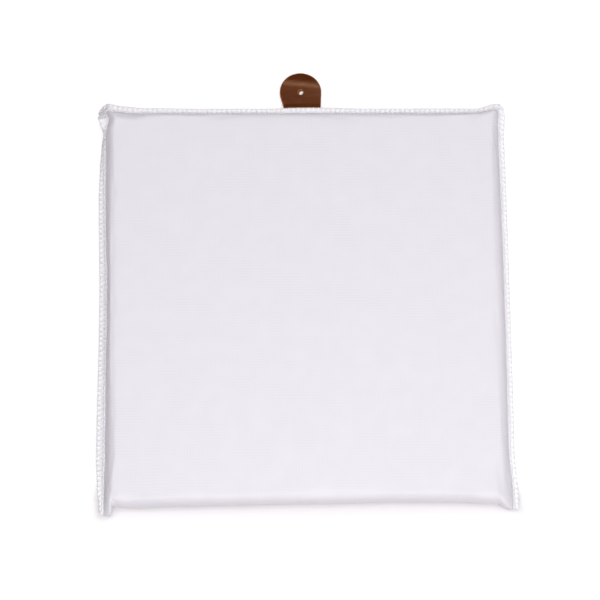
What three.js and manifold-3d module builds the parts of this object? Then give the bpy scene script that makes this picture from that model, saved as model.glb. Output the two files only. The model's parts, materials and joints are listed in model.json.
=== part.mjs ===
// A soft baseball base: a foam slab sewn into one folded sheet of laminated nylon, with a leather stake tab.
// Millimetres, +Z up. The origin is the middle of the underside, on the ground, and +Y points to the tab.
import * as THREE from 'three';
import { mergeVertices } from 'three/addons/utils/BufferGeometryUtils.js';
import Module from 'manifold-3d';

const wasm = await Module();
wasm.setup();

// Pad: one sheet, folded at the front and sewn shut along the left, back and right edges
const SEAM_WIDTH = 355.6; // between the two side seams
const SEAM_DEPTH = 355.6; // from the front fold to the back seam
const PAD_HEIGHT = 25.4; // ground to the edge of the top face
const CROWN = 1.5; // how much higher the middle of the top face is
const WALL_RUN = 8; // plan width of the rounded wall inside a seam, and of the front fold
const WALL_STEPS = 3; // facets in a quarter turn of the wall
const SHEET = 0.6; // laminated nylon
const FIN_WIDTH = 5; // sewn edge that stands out at half height
const LAYER_GAP = 0.3; // between the two layers of a fin
const FRONT_EAR = 9; // how far the front corners stand forward of the fold
const FRONT_EAR_REACH = 15; // from the seam to where the fold is straight again
const BACK_EAR = 4.5; // how far the back corners stand behind the back seam
const SIDE_EAR = 3; // how far the corners stand out beside the drawn-in sides
const EAR_REACH = 24; // from the seam to where a corner's pull ends
const FLAT_SPANS = 3; // across the flat of the pad, in front of the tab's hollow
const FOAM_CLEARANCE = 0.4; // between the sheet and the foam
const FIT_GAP = 0.3; // between pieces that lie on each other

// Overlock seam: a needle thread and two looper threads along each fin
const THREAD = 0.7; // diameter
const STITCH_PITCH = 4.5;
const LOOP_INSET = 1.3; // from the seam to a loop's inner turn
const LOOP_OVERHANG = 0.5; // from the fin's edge to a loop's outer turn
const SEAM_END = 2.5; // bare fin at each end of a seam
const NEEDLE_STEP = 4; // stitches between the needle thread's sections

// Leather tab: its root is sewn flat under the pad, and its free tongue has a hole for a ground stake
const TAB_X = -0.4; // the hole lies a little left of the pad's middle
const TAB_RADIUS = 19.05; // round end, about the stake hole
const TAB_THICKNESS = 3.2;
const LEFT_FLANK = 16; // degrees, how far each side of the tongue leans in towards the pad
const RIGHT_FLANK = 3;
const HOLE_DIAMETER = 6.2;
const ROOT_LENGTH = 36; // sewn under the flat of the pad
const ROOT_CORNER = 5;
const LIFT_LENGTH = 7; // bend where the leather rises from under the pad
const LIFT_ANGLE = 14; // degrees
const TONGUE_ARCH = 8.5; // bend from the flex line to the flat round the hole
const LAND_LENGTH = 12; // flat round the hole
const LAND_ANGLE = -5; // degrees
const TIP_ANGLE = -15; // degrees
const FLEX_GAP = 0.8; // round the end of the root, where the leather flexes
const TAB_THREAD = 0.5; // thickness of the lockstitch that holds the root
const STITCH_INSET = 4; // from the root's edge to the lockstitch
const GROUND_CLEARANCE = 0.1; // under the lockstitch
const HOLLOW_MARGIN = 1.5; // round the root, in the hollow that it presses into the pad
const HOLLOW_RAMP = 12; // from that hollow to the flat of the underside
const BEND_STEPS = 4; // facets along a bend of the leather
const NOSE_STEPS = 8; // facets round the root's end at the flex line
const SOCKET_STEPS = 6; // facets of the tongue's hollow end there
const TIP_STEPS = 24; // facets round the tongue's tip
const HOLE_STEPS = 16; // facets round the stake hole
const CORNER_STEPS = 6; // facets round a corner of the root
const STITCH_STEPS = 4; // facets round a corner of the lockstitch

// Places that follow from the sizes above
const finEdgeX = SEAM_WIDTH / 2 + FIN_WIDTH;
const finEdgeY = SEAM_DEPTH / 2 + FIN_WIDTH;
const foldY = -SEAM_DEPTH / 2;
const seamZ = PAD_HEIGHT / 2;
const finHalf = LAYER_GAP / 2 + SHEET;
const halfPitch = STITCH_PITCH / 2;
const loopSpan = FIN_WIDTH + LOOP_OVERHANG - LOOP_INSET;
const loopMitre = THREAD / 2 * Math.hypot(loopSpan, halfPitch) / halfPitch;
const flexY = finEdgeY + LOOP_OVERHANG + loopMitre + FLEX_GAP + TAB_THICKNESS / 2;
const tabBase = GROUND_CLEARANCE + TAB_THREAD + FIT_GAP;
const tabMiddle = tabBase + TAB_THICKNESS / 2;
const hollowZ = tabBase + TAB_THICKNESS + FIT_GAP;
const rootFront = SEAM_DEPTH / 2 - WALL_RUN - ROOT_LENGTH;
const rootBack = SEAM_DEPTH / 2 - WALL_RUN;
const liftY = SEAM_DEPTH / 2 - WALL_RUN / 2;

const radians = THREE.MathUtils.degToRad;

// Solids and booleans
function solidOf(geometry) {
	const bare = geometry.clone();
	bare.deleteAttribute('normal');
	bare.deleteAttribute('uv');
	const merged = mergeVertices(bare, 1e-4);
	const vertProperties = new Float32Array(merged.attributes.position.array);
	const triVerts = new Uint32Array(merged.index.array);
	return new wasm.Manifold(new wasm.Mesh({ numProp: 3, vertProperties, triVerts }));
}

function geometryOf(solid) {
	const mesh = solid.getMesh();
	return indexedGeometry(mesh.vertProperties, mesh.triVerts);
}

function indexedGeometry(positions, triangles) {
	const geometry = new THREE.BufferGeometry();
	geometry.setAttribute('position', new THREE.BufferAttribute(new Float32Array(positions), 3));
	geometry.setIndex(Array.from(triangles));
	geometry.computeVertexNormals();
	return geometry;
}

function geometryFromPoints(points, triangles) {
	return indexedGeometry(points.flatMap((p) => p.toArray()), triangles);
}

// A profile in Y and Z, drawn across X and centred on the tab
function extrudeAcross(shape, width) {
	const geometry = new THREE.ExtrudeGeometry(shape, { depth: width, bevelEnabled: false });
	geometry.translate(0, 0, TAB_X - width / 2);
	const turn = new THREE.Matrix4().set(0, 0, 1, 0, 1, 0, 0, 0, 0, 1, 0, 0, 0, 0, 0, 1);
	return geometry.applyMatrix4(turn);
}

// A plan outline drawn upwards
function extrudeUp(shape, z, height, curveSegments) {
	const geometry = new THREE.ExtrudeGeometry(shape, { depth: height, bevelEnabled: false, curveSegments });
	return geometry.translate(0, 0, z);
}

// The upper and lower lines of the strap seen from its side, along runs of straight and bent leather
function strapPath(start, heading, runs) {
	const upper = [];
	const lower = [];
	const point = start.clone();
	let angle = radians(heading);
	const mark = () => {
		const side = new THREE.Vector2(-Math.sin(angle), Math.cos(angle)).multiplyScalar(TAB_THICKNESS / 2);
		upper.push(point.clone().add(side));
		lower.push(point.clone().sub(side));
	};
	mark();
	for (const { length, turn, steps } of runs) {
		for (let step = 0; step < steps; step++) {
			const part = radians(turn) / steps;
			const chord = length / steps;
			point.x += chord * Math.cos(angle + part / 2);
			point.y += chord * Math.sin(angle + part / 2);
			angle += part;
			mark();
		}
	}
	return { upper, lower, end: point, angle };
}

function arcPoints(centre, radius, from, to, steps) {
	return Array.from({ length: steps + 1 }, (_, k) => {
		const angle = from + (to - from) * k / steps;
		return new THREE.Vector2(centre.x + radius * Math.cos(angle), centre.y + radius * Math.sin(angle));
	});
}

const liftRadius = LIFT_LENGTH / radians(LIFT_ANGLE);
const liftEndY = liftY + liftRadius * Math.sin(radians(LIFT_ANGLE));
const rootPath = strapPath(new THREE.Vector2(rootFront, tabMiddle), 0, [
	{ length: liftY - rootFront, turn: 0, steps: 1 },
	{ length: LIFT_LENGTH, turn: LIFT_ANGLE, steps: BEND_STEPS },
	{ length: (flexY - liftEndY) / Math.cos(radians(LIFT_ANGLE)), turn: 0, steps: 1 },
]);
const flex = rootPath.end;
const tonguePath = strapPath(flex, LIFT_ANGLE, [
	{ length: TONGUE_ARCH, turn: LAND_ANGLE - LIFT_ANGLE, steps: BEND_STEPS },
	{ length: LAND_LENGTH, turn: 0, steps: 2 },
	{ length: TAB_RADIUS, turn: TIP_ANGLE - LAND_ANGLE, steps: BEND_STEPS },
]);
const landMiddle = BEND_STEPS + 1; // the tongue path's mark at the middle of the land
const holeY = tonguePath.upper[landMiddle].clone().add(tonguePath.lower[landMiddle]).x / 2;

// Where a flank of the tongue lies at a distance along the strap
function flankX(side, flank, y) {
	const lean = radians(flank);
	const along = (holeY - TAB_RADIUS * Math.sin(lean) - y) / Math.cos(lean);
	return TAB_X + side * (TAB_RADIUS * Math.cos(lean) - along * Math.sin(lean));
}

const rootLeft = flankX(-1, LEFT_FLANK, flexY);
const rootRight = flankX(1, RIGHT_FLANK, flexY);
const hollowLeft = rootLeft - HOLLOW_MARGIN;
const hollowRight = rootRight + HOLLOW_MARGIN;
const hollowFront = rootFront - HOLLOW_MARGIN;

// Sheet: stations from a fin's edge inwards, with how far the sheet has risen there
const seamStations = [{ inset: 0, rise: 0 }, { inset: FIN_WIDTH, rise: 0 }];
for (let step = 1; step <= WALL_STEPS; step++) {
	const angle = Math.PI / 2 * step / WALL_STEPS;
	seamStations.push({ inset: FIN_WIDTH + WALL_RUN * (1 - Math.cos(angle)), rise: Math.sin(angle) });
}
const flatInset = FIN_WIDTH + EAR_REACH;
seamStations.push({ inset: flatInset, rise: 1 });

function betweenStations(a, b, spans) {
	return Array.from({ length: spans - 1 }, (_, k) => a + (b - a) * (k + 1) / spans);
}

const leftColumns = seamStations.map((station) => ({ ...station, side: -1, x: station.inset - finEdgeX }));
const rightColumns = seamStations.toReversed().map((station) => (
	{ ...station, side: 1, x: finEdgeX - station.inset }
));
const flatLeft = flatInset - finEdgeX;
const hollowXs = [hollowLeft - HOLLOW_RAMP, hollowLeft, hollowRight, hollowRight + HOLLOW_RAMP];
const innerXs = [(flatLeft + hollowXs[0]) / 2, ...hollowXs, (hollowXs[3] - flatLeft) / 2];
const innerColumns = innerXs.map((x) => ({ x, side: 0, inset: finEdgeX, rise: 1 }));
const columns = [...leftColumns, ...innerColumns, ...rightColumns];

const flatBackY = finEdgeY - flatInset;
const flatFrontY = foldY + EAR_REACH;
const hollowRampY = hollowFront - HOLLOW_RAMP;
const backRows = seamStations.map((station) => ({ ...station, y: finEdgeY - station.inset }));
const flatRow = (y) => ({ y, inset: finEdgeY, rise: 1 });
const foldSteps = 2 * WALL_STEPS;
const foldRows = Array.from({ length: foldSteps + 1 }, (_, k) => ({ fold: Math.PI * (0.5 - k / foldSteps) }));
const layerRows = [
	...backRows,
	flatRow(hollowFront),
	flatRow(hollowRampY),
	...betweenStations(hollowRampY, flatFrontY, FLAT_SPANS).map(flatRow),
	flatRow(flatFrontY),
];
const rows = [
	...layerRows.map((row) => ({ ...row, layer: 1 })),
	...foldRows,
	...layerRows.toReversed().map((row) => ({ ...row, layer: -1 })),
];

// How strongly a corner's ear pulls at a distance from the corner
const easeOff = (distance, reach) => (1 + Math.cos(Math.PI * Math.min(1, Math.max(0, distance / reach)))) / 2;

const sheetHalf = (rise) => finHalf + (seamZ - finHalf) * rise;

// 1 in the hollow over the tab's root, 0 elsewhere
function hollowShare(column, row) {
	const overTab = column.x >= hollowLeft && column.x <= hollowRight;
	return row.layer === -1 && overTab && row.y >= hollowFront ? 1 : 0;
}

// A point of the sheet's outer face
function sheetPoint(column, row) {
	if (row.fold !== undefined) {
		const ear = FRONT_EAR * easeOff(column.inset - FIN_WIDTH, FRONT_EAR_REACH);
		const run = Math.max(finHalf, WALL_RUN * column.rise);
		return new THREE.Vector3(
			column.x + column.side * SIDE_EAR * easeOff(column.inset, flatInset),
			foldY - ear + run * (1 - Math.cos(row.fold)),
			seamZ + sheetHalf(column.rise) * Math.sin(row.fold),
		);
	}
	const pull = easeOff(column.inset, flatInset) * easeOff(row.inset, flatInset);
	const x = column.x + column.side * SIDE_EAR * pull;
	const y = row.y + BACK_EAR * pull;
	const half = sheetHalf(Math.min(column.rise, row.rise));
	if (row.layer === 1) {
		const across = Math.max(0, 1 - (2 * x / SEAM_WIDTH) ** 2);
		const along = Math.max(0, 1 - (2 * y / SEAM_DEPTH) ** 2);
		return new THREE.Vector3(x, y, seamZ + half + CROWN * across * along);
	}
	return new THREE.Vector3(x, y, Math.max(seamZ - half, hollowZ * hollowShare(column, row)));
}

const sheet = rows.map((row) => columns.map((column) => sheetPoint(column, row)));

function quadNormal(j, i) {
	const down = sheet[j + 1][i].clone().sub(sheet[j][i + 1]);
	const across = sheet[j + 1][i + 1].clone().sub(sheet[j][i]);
	return down.cross(across).normalize();
}

// The way out of the sheet at a grid point, lengthened so that the faces beside it keep their distance
function sheetNormal(j, i) {
	const faces = [];
	for (const dj of [-1, 0]) {
		for (const di of [-1, 0]) {
			if (j + dj >= 0 && j + dj < rows.length - 1 && i + di >= 0 && i + di < columns.length - 1) {
				faces.push(quadNormal(j + dj, i + di));
			}
		}
	}
	const normal = faces.reduce((sum, face) => sum.add(face), new THREE.Vector3()).normalize();
	const facing = faces.reduce((sum, face) => sum + face.dot(normal), 0) / faces.length;
	return normal.divideScalar(facing);
}

function sheetInset(depthAt) {
	return rows.map((row, j) => columns.map((column, i) => (
		sheet[j][i].clone().addScaledVector(sheetNormal(j, i), -depthAt(column, row))
	)));
}

// The two triangles of one grid cell, cut along the crease that runs to the nearest corner
function cellTriangles(a, b, c, d, slopesIn) {
	return slopesIn ? [a, d, c, a, c, b] : [a, d, b, d, c, b];
}

function gridTriangles(columnCount, rowCount, indexAt) {
	const triangles = [];
	for (let j = 0; j < rowCount - 1; j++) {
		for (let i = 0; i < columnCount - 1; i++) {
			const slopesIn = (i < columnCount / 2) === (j < rowCount / 2);
			const corners = [indexAt(j, i), indexAt(j, i + 1), indexAt(j + 1, i + 1), indexAt(j + 1, i)];
			triangles.push(...cellTriangles(...corners, slopesIn));
		}
	}
	return triangles;
}

function turnedOver(triangles) {
	const turned = [];
	for (let k = 0; k < triangles.length; k += 3) {
		turned.push(triangles[k], triangles[k + 2], triangles[k + 1]);
	}
	return turned;
}

// Cover: the sheet's outer face, its inner face and the cut edge between them
function coverGeometry() {
	const inner = sheetInset(() => SHEET);
	const points = [...sheet.flat(), ...inner.flat()];
	const count = rows.length * columns.length;
	const at = (j, i) => j * columns.length + i;
	const outside = gridTriangles(columns.length, rows.length, at);
	const triangles = [...outside, ...turnedOver(outside).map((index) => index + count)];
	const lastRow = rows.length - 1;
	const lastColumn = columns.length - 1;
	const edge = [];
	for (let j = 0; j < lastRow; j++) {
		edge.push([at(j + 1, 0), at(j, 0)], [at(j, lastColumn), at(j + 1, lastColumn)]);
	}
	for (let i = 0; i < lastColumn; i++) {
		edge.push([at(0, i), at(0, i + 1)], [at(lastRow, i + 1), at(lastRow, i)]);
	}
	for (const [from, to] of edge) {
		triangles.push(from, to, to + count, from, to + count, from + count);
	}
	return geometryFromPoints(points, triangles);
}

// Foam: a slab that fills the sheet from wall to wall, with its edges pressed round
function foamGeometry() {
	const skip = 2; // the fin's edge and the seam lie outside the foam
	const overThread = SHEET + 2 * FIT_GAP + TAB_THREAD;
	const deep = (column, row) => (hollowShare(column, row) ? overThread : SHEET + FOAM_CLEARANCE);
	const grid = sheetInset(deep).slice(skip, -skip).map((row) => row.slice(skip, -skip));
	const across = grid[0].length;
	const along = grid.length;
	const at = (j, i) => j * across + i;
	const triangles = gridTriangles(across, along, at);
	for (let i = 0; i < across - 1; i++) {
		const under = [at(along - 1, i), at(along - 1, i + 1)];
		triangles.push(at(0, i), at(0, i + 1), under[1], at(0, i), under[1], under[0]);
	}
	const last = along - 1;
	const foldRow = last / 2;
	for (let j = 0; j < foldRow; j++) {
		for (const i of [0, across - 1]) {
			const wall = [at(j, i), at(j + 1, i), at(last - j, i)];
			if (j + 1 < foldRow) {
				wall.push(at(last - j, i), at(j + 1, i), at(last - j - 1, i));
			}
			triangles.push(...(i === 0 ? turnedOver(wall) : wall));
		}
	}
	return geometryFromPoints(grid.flat(), triangles);
}

// Rings of equal length joined into one closed piece
function loftGeometry(rings) {
	const size = rings[0].length;
	const triangles = [];
	for (let k = 0; k < rings.length - 1; k++) {
		for (let n = 0; n < size; n++) {
			const a = k * size + n;
			const b = k * size + (n + 1) % size;
			triangles.push(a, b, b + size, a, b + size, a + size);
		}
	}
	const last = (rings.length - 1) * size;
	for (let n = 1; n < size - 1; n++) {
		triangles.push(0, n + 1, n, last, last + n, last + n + 1);
	}
	return geometryFromPoints(rings.flat(), triangles);
}

// Fins: each has the line of its seam and of its edge, on the sheet's top layer
const finRows = layerRows.length + 1;
const lastColumn = columns.length - 1;
const columnLine = (i) => sheet.slice(0, finRows).map((row) => row[i]);
const fins = {
	left: { seam: columnLine(1), edge: columnLine(0), axis: 'y', turn: -1 },
	back: { seam: sheet[1], edge: sheet[0], axis: 'x', turn: 1 },
	right: { seam: columnLine(lastColumn - 1), edge: columnLine(lastColumn), axis: 'y', turn: 1 },
};

// A point of a fin at a place along its seam and a distance out from it, with the way across the fin
function finPlace(fin, along, out) {
	const seam = fin.seam;
	let k = 0;
	while (k < seam.length - 2 && (seam[k + 1][fin.axis] - along) * (seam[0][fin.axis] - along) > 0) {
		k++;
	}
	const share = (along - seam[k][fin.axis]) / (seam[k + 1][fin.axis] - seam[k][fin.axis]);
	const root = seam[k].clone().lerp(seam[k + 1], share);
	const tip = fin.edge[k].clone().lerp(fin.edge[k + 1], share);
	const across = tip.sub(root).normalize();
	const point = root.addScaledVector(across, out);
	return { point, across };
}

function threadRing(fin, along, out, z, halfWidth) {
	const { point, across } = finPlace(fin, along, out);
	point.z = z;
	const up = new THREE.Vector3(0, 0, THREAD / 2);
	const wide = across.multiplyScalar(halfWidth);
	const ring = [
		point.clone().add(wide), point.clone().add(up), point.clone().sub(wide), point.clone().sub(up),
	];
	return fin.turn > 0 ? ring : ring.reverse();
}

function seamSpan(fin) {
	const first = fin.seam[0][fin.axis];
	const last = fin.seam.at(-1)[fin.axis];
	const step = Math.sign(last - first);
	const inner = fin.axis === 'x' ? FIN_WIDTH + LOOP_OVERHANG + loopMitre : 0;
	const from = first + step * (SEAM_END + inner);
	const to = last - step * (SEAM_END + inner);
	const stitches = Math.floor(Math.abs(to - from) / STITCH_PITCH);
	return { from, step: step * halfPitch, turns: 2 * stitches };
}

const loopZ = finHalf + FIT_GAP + THREAD / 2;
const needleZ = loopZ + THREAD + FIT_GAP;

// A looper thread runs to and fro between the needle's line and the fin's edge
function looperGeometry(fin, layer) {
	const { from, step, turns } = seamSpan(fin);
	const rings = [];
	for (let k = 0; k <= turns; k++) {
		const inner = (k % 2 === 0) === (layer > 0);
		const out = inner ? LOOP_INSET : FIN_WIDTH + LOOP_OVERHANG;
		rings.push(threadRing(fin, from + k * step, out, seamZ + layer * loopZ, loopMitre));
	}
	return loftGeometry(rings);
}

// The needle thread lies along the seam, over the loops' inner turns
function needleGeometry(fin) {
	const { from, step, turns } = seamSpan(fin);
	const rings = [];
	for (let k = 0; k < turns; k += 2 * NEEDLE_STEP) {
		rings.push(threadRing(fin, from + k * step, LOOP_INSET, seamZ + needleZ, THREAD / 2));
	}
	rings.push(threadRing(fin, from + turns * step, LOOP_INSET, seamZ + needleZ, THREAD / 2));
	return loftGeometry(rings);
}

// Tab: side profiles cut to the plan outlines
const strapWidth = 4 * TAB_RADIUS;
const tallZ = -PAD_HEIGHT;
const tallHeight = 3 * PAD_HEIGHT;

function rootGeometry() {
	const nose = arcPoints(
		flex, TAB_THICKNESS / 2, rootPath.angle + Math.PI / 2, rootPath.angle - Math.PI / 2, NOSE_STEPS,
	);
	const profile = new THREE.Shape([
		...rootPath.lower, ...nose.slice(1, -1).reverse(), ...rootPath.upper.toReversed(),
	]);
	const plan = new THREE.Shape();
	plan.moveTo(rootRight, flexY + TAB_THICKNESS);
	plan.lineTo(rootLeft, flexY + TAB_THICKNESS);
	plan.absarc(rootLeft + ROOT_CORNER, rootFront + ROOT_CORNER, ROOT_CORNER, Math.PI, 1.5 * Math.PI);
	plan.absarc(rootRight - ROOT_CORNER, rootFront + ROOT_CORNER, ROOT_CORNER, 1.5 * Math.PI, 2 * Math.PI);
	const strap = solidOf(extrudeAcross(profile, strapWidth));
	return geometryOf(strap.intersect(solidOf(extrudeUp(plan, tallZ, tallHeight, CORNER_STEPS))));
}

function tongueGeometry() {
	const socket = TAB_THICKNESS / 2 + FLEX_GAP;
	const lip = Math.asin(TAB_THICKNESS / 2 / socket);
	const heading = rootPath.angle;
	const hollow = arcPoints(flex, socket, heading - lip, heading + lip, SOCKET_STEPS);
	const profile = new THREE.Shape([
		...hollow.toReversed(), ...tonguePath.lower.slice(2), ...tonguePath.upper.slice(2).reverse(),
	]);
	const right = radians(RIGHT_FLANK);
	const left = radians(LEFT_FLANK);
	const baseY = flexY - TAB_THICKNESS;
	const plan = new THREE.Shape();
	plan.moveTo(flankX(-1, LEFT_FLANK, baseY), baseY);
	plan.lineTo(flankX(1, RIGHT_FLANK, baseY), baseY);
	plan.absarc(TAB_X, holeY, TAB_RADIUS, -right, Math.PI + left);
	const strap = solidOf(extrudeAcross(profile, strapWidth));
	const punch = new THREE.CylinderGeometry(HOLE_DIAMETER / 2, HOLE_DIAMETER / 2, tallHeight, HOLE_STEPS);
	punch.rotateX(Math.PI / 2).translate(TAB_X, holeY, 0);
	const tongue = strap.intersect(solidOf(extrudeUp(plan, tallZ, tallHeight, TIP_STEPS)));
	return geometryOf(tongue.subtract(solidOf(punch)));
}

// A box of lockstitch round the root, seen as one flat ring of thread on each side of the layers
function lockstitchGeometry(z) {
	const outline = (inset) => {
		const corner = ROOT_CORNER - inset + STITCH_INSET;
		const [x0, x1] = [rootLeft + inset, rootRight - inset];
		const [y0, y1] = [rootFront + inset, rootBack - inset];
		const path = new THREE.Path();
		path.absarc(x0 + corner, y0 + corner, corner, Math.PI, 1.5 * Math.PI);
		path.absarc(x1 - corner, y0 + corner, corner, 1.5 * Math.PI, 2 * Math.PI);
		path.absarc(x1 - corner, y1 - corner, corner, 0, 0.5 * Math.PI);
		path.absarc(x0 + corner, y1 - corner, corner, 0.5 * Math.PI, Math.PI);
		return path.getPoints(STITCH_STEPS);
	};
	const ring = new THREE.Shape(outline(STITCH_INSET));
	ring.holes.push(new THREE.Path(outline(STITCH_INSET + TAB_THREAD)));
	return extrudeUp(ring, z, TAB_THREAD, STITCH_STEPS);
}

// Finishes
const finish = (color, roughness) => new THREE.MeshStandardMaterial({ color, roughness, metalness: 0 });
const laminate = finish(0xebe7ee, 0.5);
const foam = finish(0xf1e9d2, 0.95);
const polyester = finish(0xf6f4f8, 0.6);
const leather = finish(0x5a2c17, 0.45);

const base = new THREE.Group();

function addPiece(name, geometry, material) {
	const mesh = new THREE.Mesh(geometry, material);
	mesh.name = name;
	base.add(mesh);
}

addPiece('cover', coverGeometry(), laminate);
addPiece('foam_core', foamGeometry(), foam);
for (const [side, fin] of Object.entries(fins)) {
	addPiece(`${side}_needle_thread`, needleGeometry(fin), polyester);
	addPiece(`${side}_upper_looper_thread`, looperGeometry(fin, 1), polyester);
	addPiece(`${side}_lower_looper_thread`, looperGeometry(fin, -1), polyester);
}
addPiece('tab_root', rootGeometry(), leather);
addPiece('tab_tongue', tongueGeometry(), leather);
addPiece('tab_needle_thread', lockstitchGeometry(GROUND_CLEARANCE), polyester);
addPiece('tab_bobbin_thread', lockstitchGeometry(hollowZ + SHEET + FIT_GAP), polyester);

export default base;
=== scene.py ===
"""A soft baseball base: foam in a folded white cover with overlocked edges, and a leather stake tab."""
import json
import math

import bmesh
import bpy
from mathutils import Matrix, Vector


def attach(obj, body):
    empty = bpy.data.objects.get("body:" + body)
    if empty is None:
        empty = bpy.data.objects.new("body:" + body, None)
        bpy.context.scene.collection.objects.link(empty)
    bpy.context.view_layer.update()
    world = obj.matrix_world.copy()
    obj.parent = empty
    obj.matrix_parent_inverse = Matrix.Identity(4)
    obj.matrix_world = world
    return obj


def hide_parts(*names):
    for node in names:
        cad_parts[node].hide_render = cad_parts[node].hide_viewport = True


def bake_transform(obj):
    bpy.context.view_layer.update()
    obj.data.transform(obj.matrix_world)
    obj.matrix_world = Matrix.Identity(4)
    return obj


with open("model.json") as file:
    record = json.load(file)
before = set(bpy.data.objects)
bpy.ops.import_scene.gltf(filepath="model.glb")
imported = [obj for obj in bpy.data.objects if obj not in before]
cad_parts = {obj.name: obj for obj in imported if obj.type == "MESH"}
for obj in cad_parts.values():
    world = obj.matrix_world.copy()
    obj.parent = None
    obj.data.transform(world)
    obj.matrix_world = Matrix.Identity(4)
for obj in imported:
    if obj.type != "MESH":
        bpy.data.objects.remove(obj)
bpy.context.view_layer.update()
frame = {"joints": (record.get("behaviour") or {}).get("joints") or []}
scene = bpy.context.scene
MM = 0.001

# The pad, in metres
HALF_SEAM = 177.8 * MM
HEIGHT = 25.4 * MM
SEAM_Z = HEIGHT / 2
CROWN = 1.1 * MM
LEFT_RUN = 8 * MM  # how far each wall leans in from its seam to the flat
RIGHT_RUN = 7 * MM
BACK_RUN = 4.2 * MM
FRONT_RUN = 5 * MM
LEFT_FACET = 1.75  # steepness of the left wall
LEFT_SHOULDER = 0.85  # how sharply it turns into the top
RIGHT_BULGE = 1.4 * MM
BACK_SKEW = 2.3 * MM  # how far the back seam is sewn out of square at each end
SHEET = 0.6 * MM
FIN_HALF = 0.75 * MM  # half of a sewn edge's thickness
FIN_CLOTH = 6.2 * MM  # mean width of a sewn edge on the flat cloth
HANGING_FALL = (0.45, 0.6)  # fall, as a share of its width, at which a sewn edge begins to hang and hangs

# How far each of these forms reaches across the top
FRONT_REACH = 60 * MM
DENT_REACH = 30 * MM
PULL_REACH = 40 * MM
BULGE_REACH = 60 * MM

# Front corners: the distance in from the seam, then how far the corner stands forward, in millimetres
LEFT_TIP = [(0, 8.2), (1, 9.3), (2.4, 9.9), (4.9, 9.8), (6.4, 9.3), (8, 7.8), (9, 0)]
RIGHT_TIP = [(0, 6.4), (1.2, 7.0), (3, 7.0), (5, 6.0), (8, 2.8), (10.5, 0)]
TIP_FULL = 5 * MM  # a corner that stands this far forward has a blunt end
TIP_BLUNT = 0.66
TONGUE_RUN = 9.6 * MM  # the left wall's facet runs on into the left corner's tongue, where it is wider
TONGUE_TURN = 1.3  # turn of the fold over which it widens, in radians
TONGUE_LIP = 1.2 * MM  # how far the tongue's right side hangs over the fold
LIP_START = 2 * MM
LIP_END = LEFT_RUN + 1 * MM

# How the seams draw the corners out: across, back and up, then how far the pull reaches across and along
BACK_LEFT_EAR = ((-0.6, 2.0, 1.0), 34, 20)
BACK_RIGHT_EAR = ((0.8, 2.6, 1.2), 20, 20)
FRONT_LEFT_EAR = ((0.3, 0.0, -1.0), 16, 30)
FRONT_RIGHT_EAR = ((3.4, 0.0, -5.0), 10, 46)

# Tables of how the pad is sewn: a place along the edge in millimetres, then the value there
# Width of each sewn edge, in millimetres
LEFT_WIDTH = [
    (-190, 2.4), (-178, 3.4), (-164, 5.6), (-140, 7.1), (0, 6.8), (150, 6.0), (166, 5.0), (174, 8.2),
    (182, 11.5), (190, 12),
]
RIGHT_WIDTH = [(-190, 4.6), (-160, 5.0), (0, 4.6), (150, 5.2), (176, 6.2), (190, 6.6)]
BACK_WIDTH = [
    (-190, 10), (-182, 9), (-165, 6.0), (-140, 5.2), (-90, 4.5), (-30, 4.6), (0, 5.6), (20, 5.6), (60, 4.6),
    (160, 4.9), (176, 6.6), (190, 7.0),
]
# How far each sewn edge droops, in degrees
LEFT_DROOP = [
    (-190, 4), (-140, 10), (0, 18), (100, 18), (132, 34), (150, 52), (163, 66), (169, 0), (175, -6),
    (181, 54), (190, 58),
]
RIGHT_DROOP = [(-190, 8), (-160, 12), (0, 14), (120, 14), (160, 12), (190, 8)]
BACK_DROOP = [
    (-190, 54), (-182, 46), (-173, -2), (-150, -8), (-60, -12), (40, -12), (126, -9), (158, 4), (174, 4),
    (190, 0),
]
# How far the left seam is drawn in, in millimetres, and the share by which its wall is narrower
LEFT_PULL = [(-178, 0), (-142, 0.9), (8, 2.2), (109, 0.4), (158, 0.4), (171, 3.0), (180, 0)]
LEFT_SQUEEZE = [
    (-186, 0.22), (-172, 0.16), (-130, 0.06), (-30, 0.5), (40, 0.52), (120, 0.25), (160, 0.28), (178, 0.1),
]
# How deep the back wall is dented, and where the front fold runs, in millimetres
BACK_DENT = [(-178, 2.0), (-168, 4.6), (-152, 4.2), (-136, 0.4), (-120, 0)]
FRONT_LINE = [
    (-190, -178.2), (-170, -178.6), (-156, -181.0), (-106, -180.2), (0, -179.4), (82, -178.9),
    (126, -179.4), (163, -181.2), (174, -179.0), (190, -179.0),
]

# Cells of the cover's sheet
FIN_CELLS = 4
WALL_CELLS = 8
EDGE_STEPS = [1.0, 1.3, 1.7, 2.2, 2.8, 3.6, 4.6, 5.8]  # cells beside a wall, in millimetres
FLAT_CELLS = 39
FOLD_CELLS = 14

# How the cover's cloth settles
CUSHION_PRESSURE = 0.4
CLOTH_SLACK = 0.0015
SETTLING_FRAMES = 20
SETTLING_CAP = 0.8 * MM  # the furthest that a point moves

RIB = 2.5 * MM  # ribs of the weave, drawn coarser than they are so that they show

# Foam: how far its faces stand in from the cover's seams and outer faces
FOAM_LEFT = 8 * MM
FOAM_RIGHT = 4.5 * MM
FOAM_BACK = 5.5 * MM
FOAM_FRONT = 3.5 * MM
FOAM_SINK = 1.4 * MM
FOAM_CORNER = 14 * MM
FOAM_ROUND = 0.47  # share of its thickness that each rim rounds off
FOAM_SEGMENTS = 5

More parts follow.
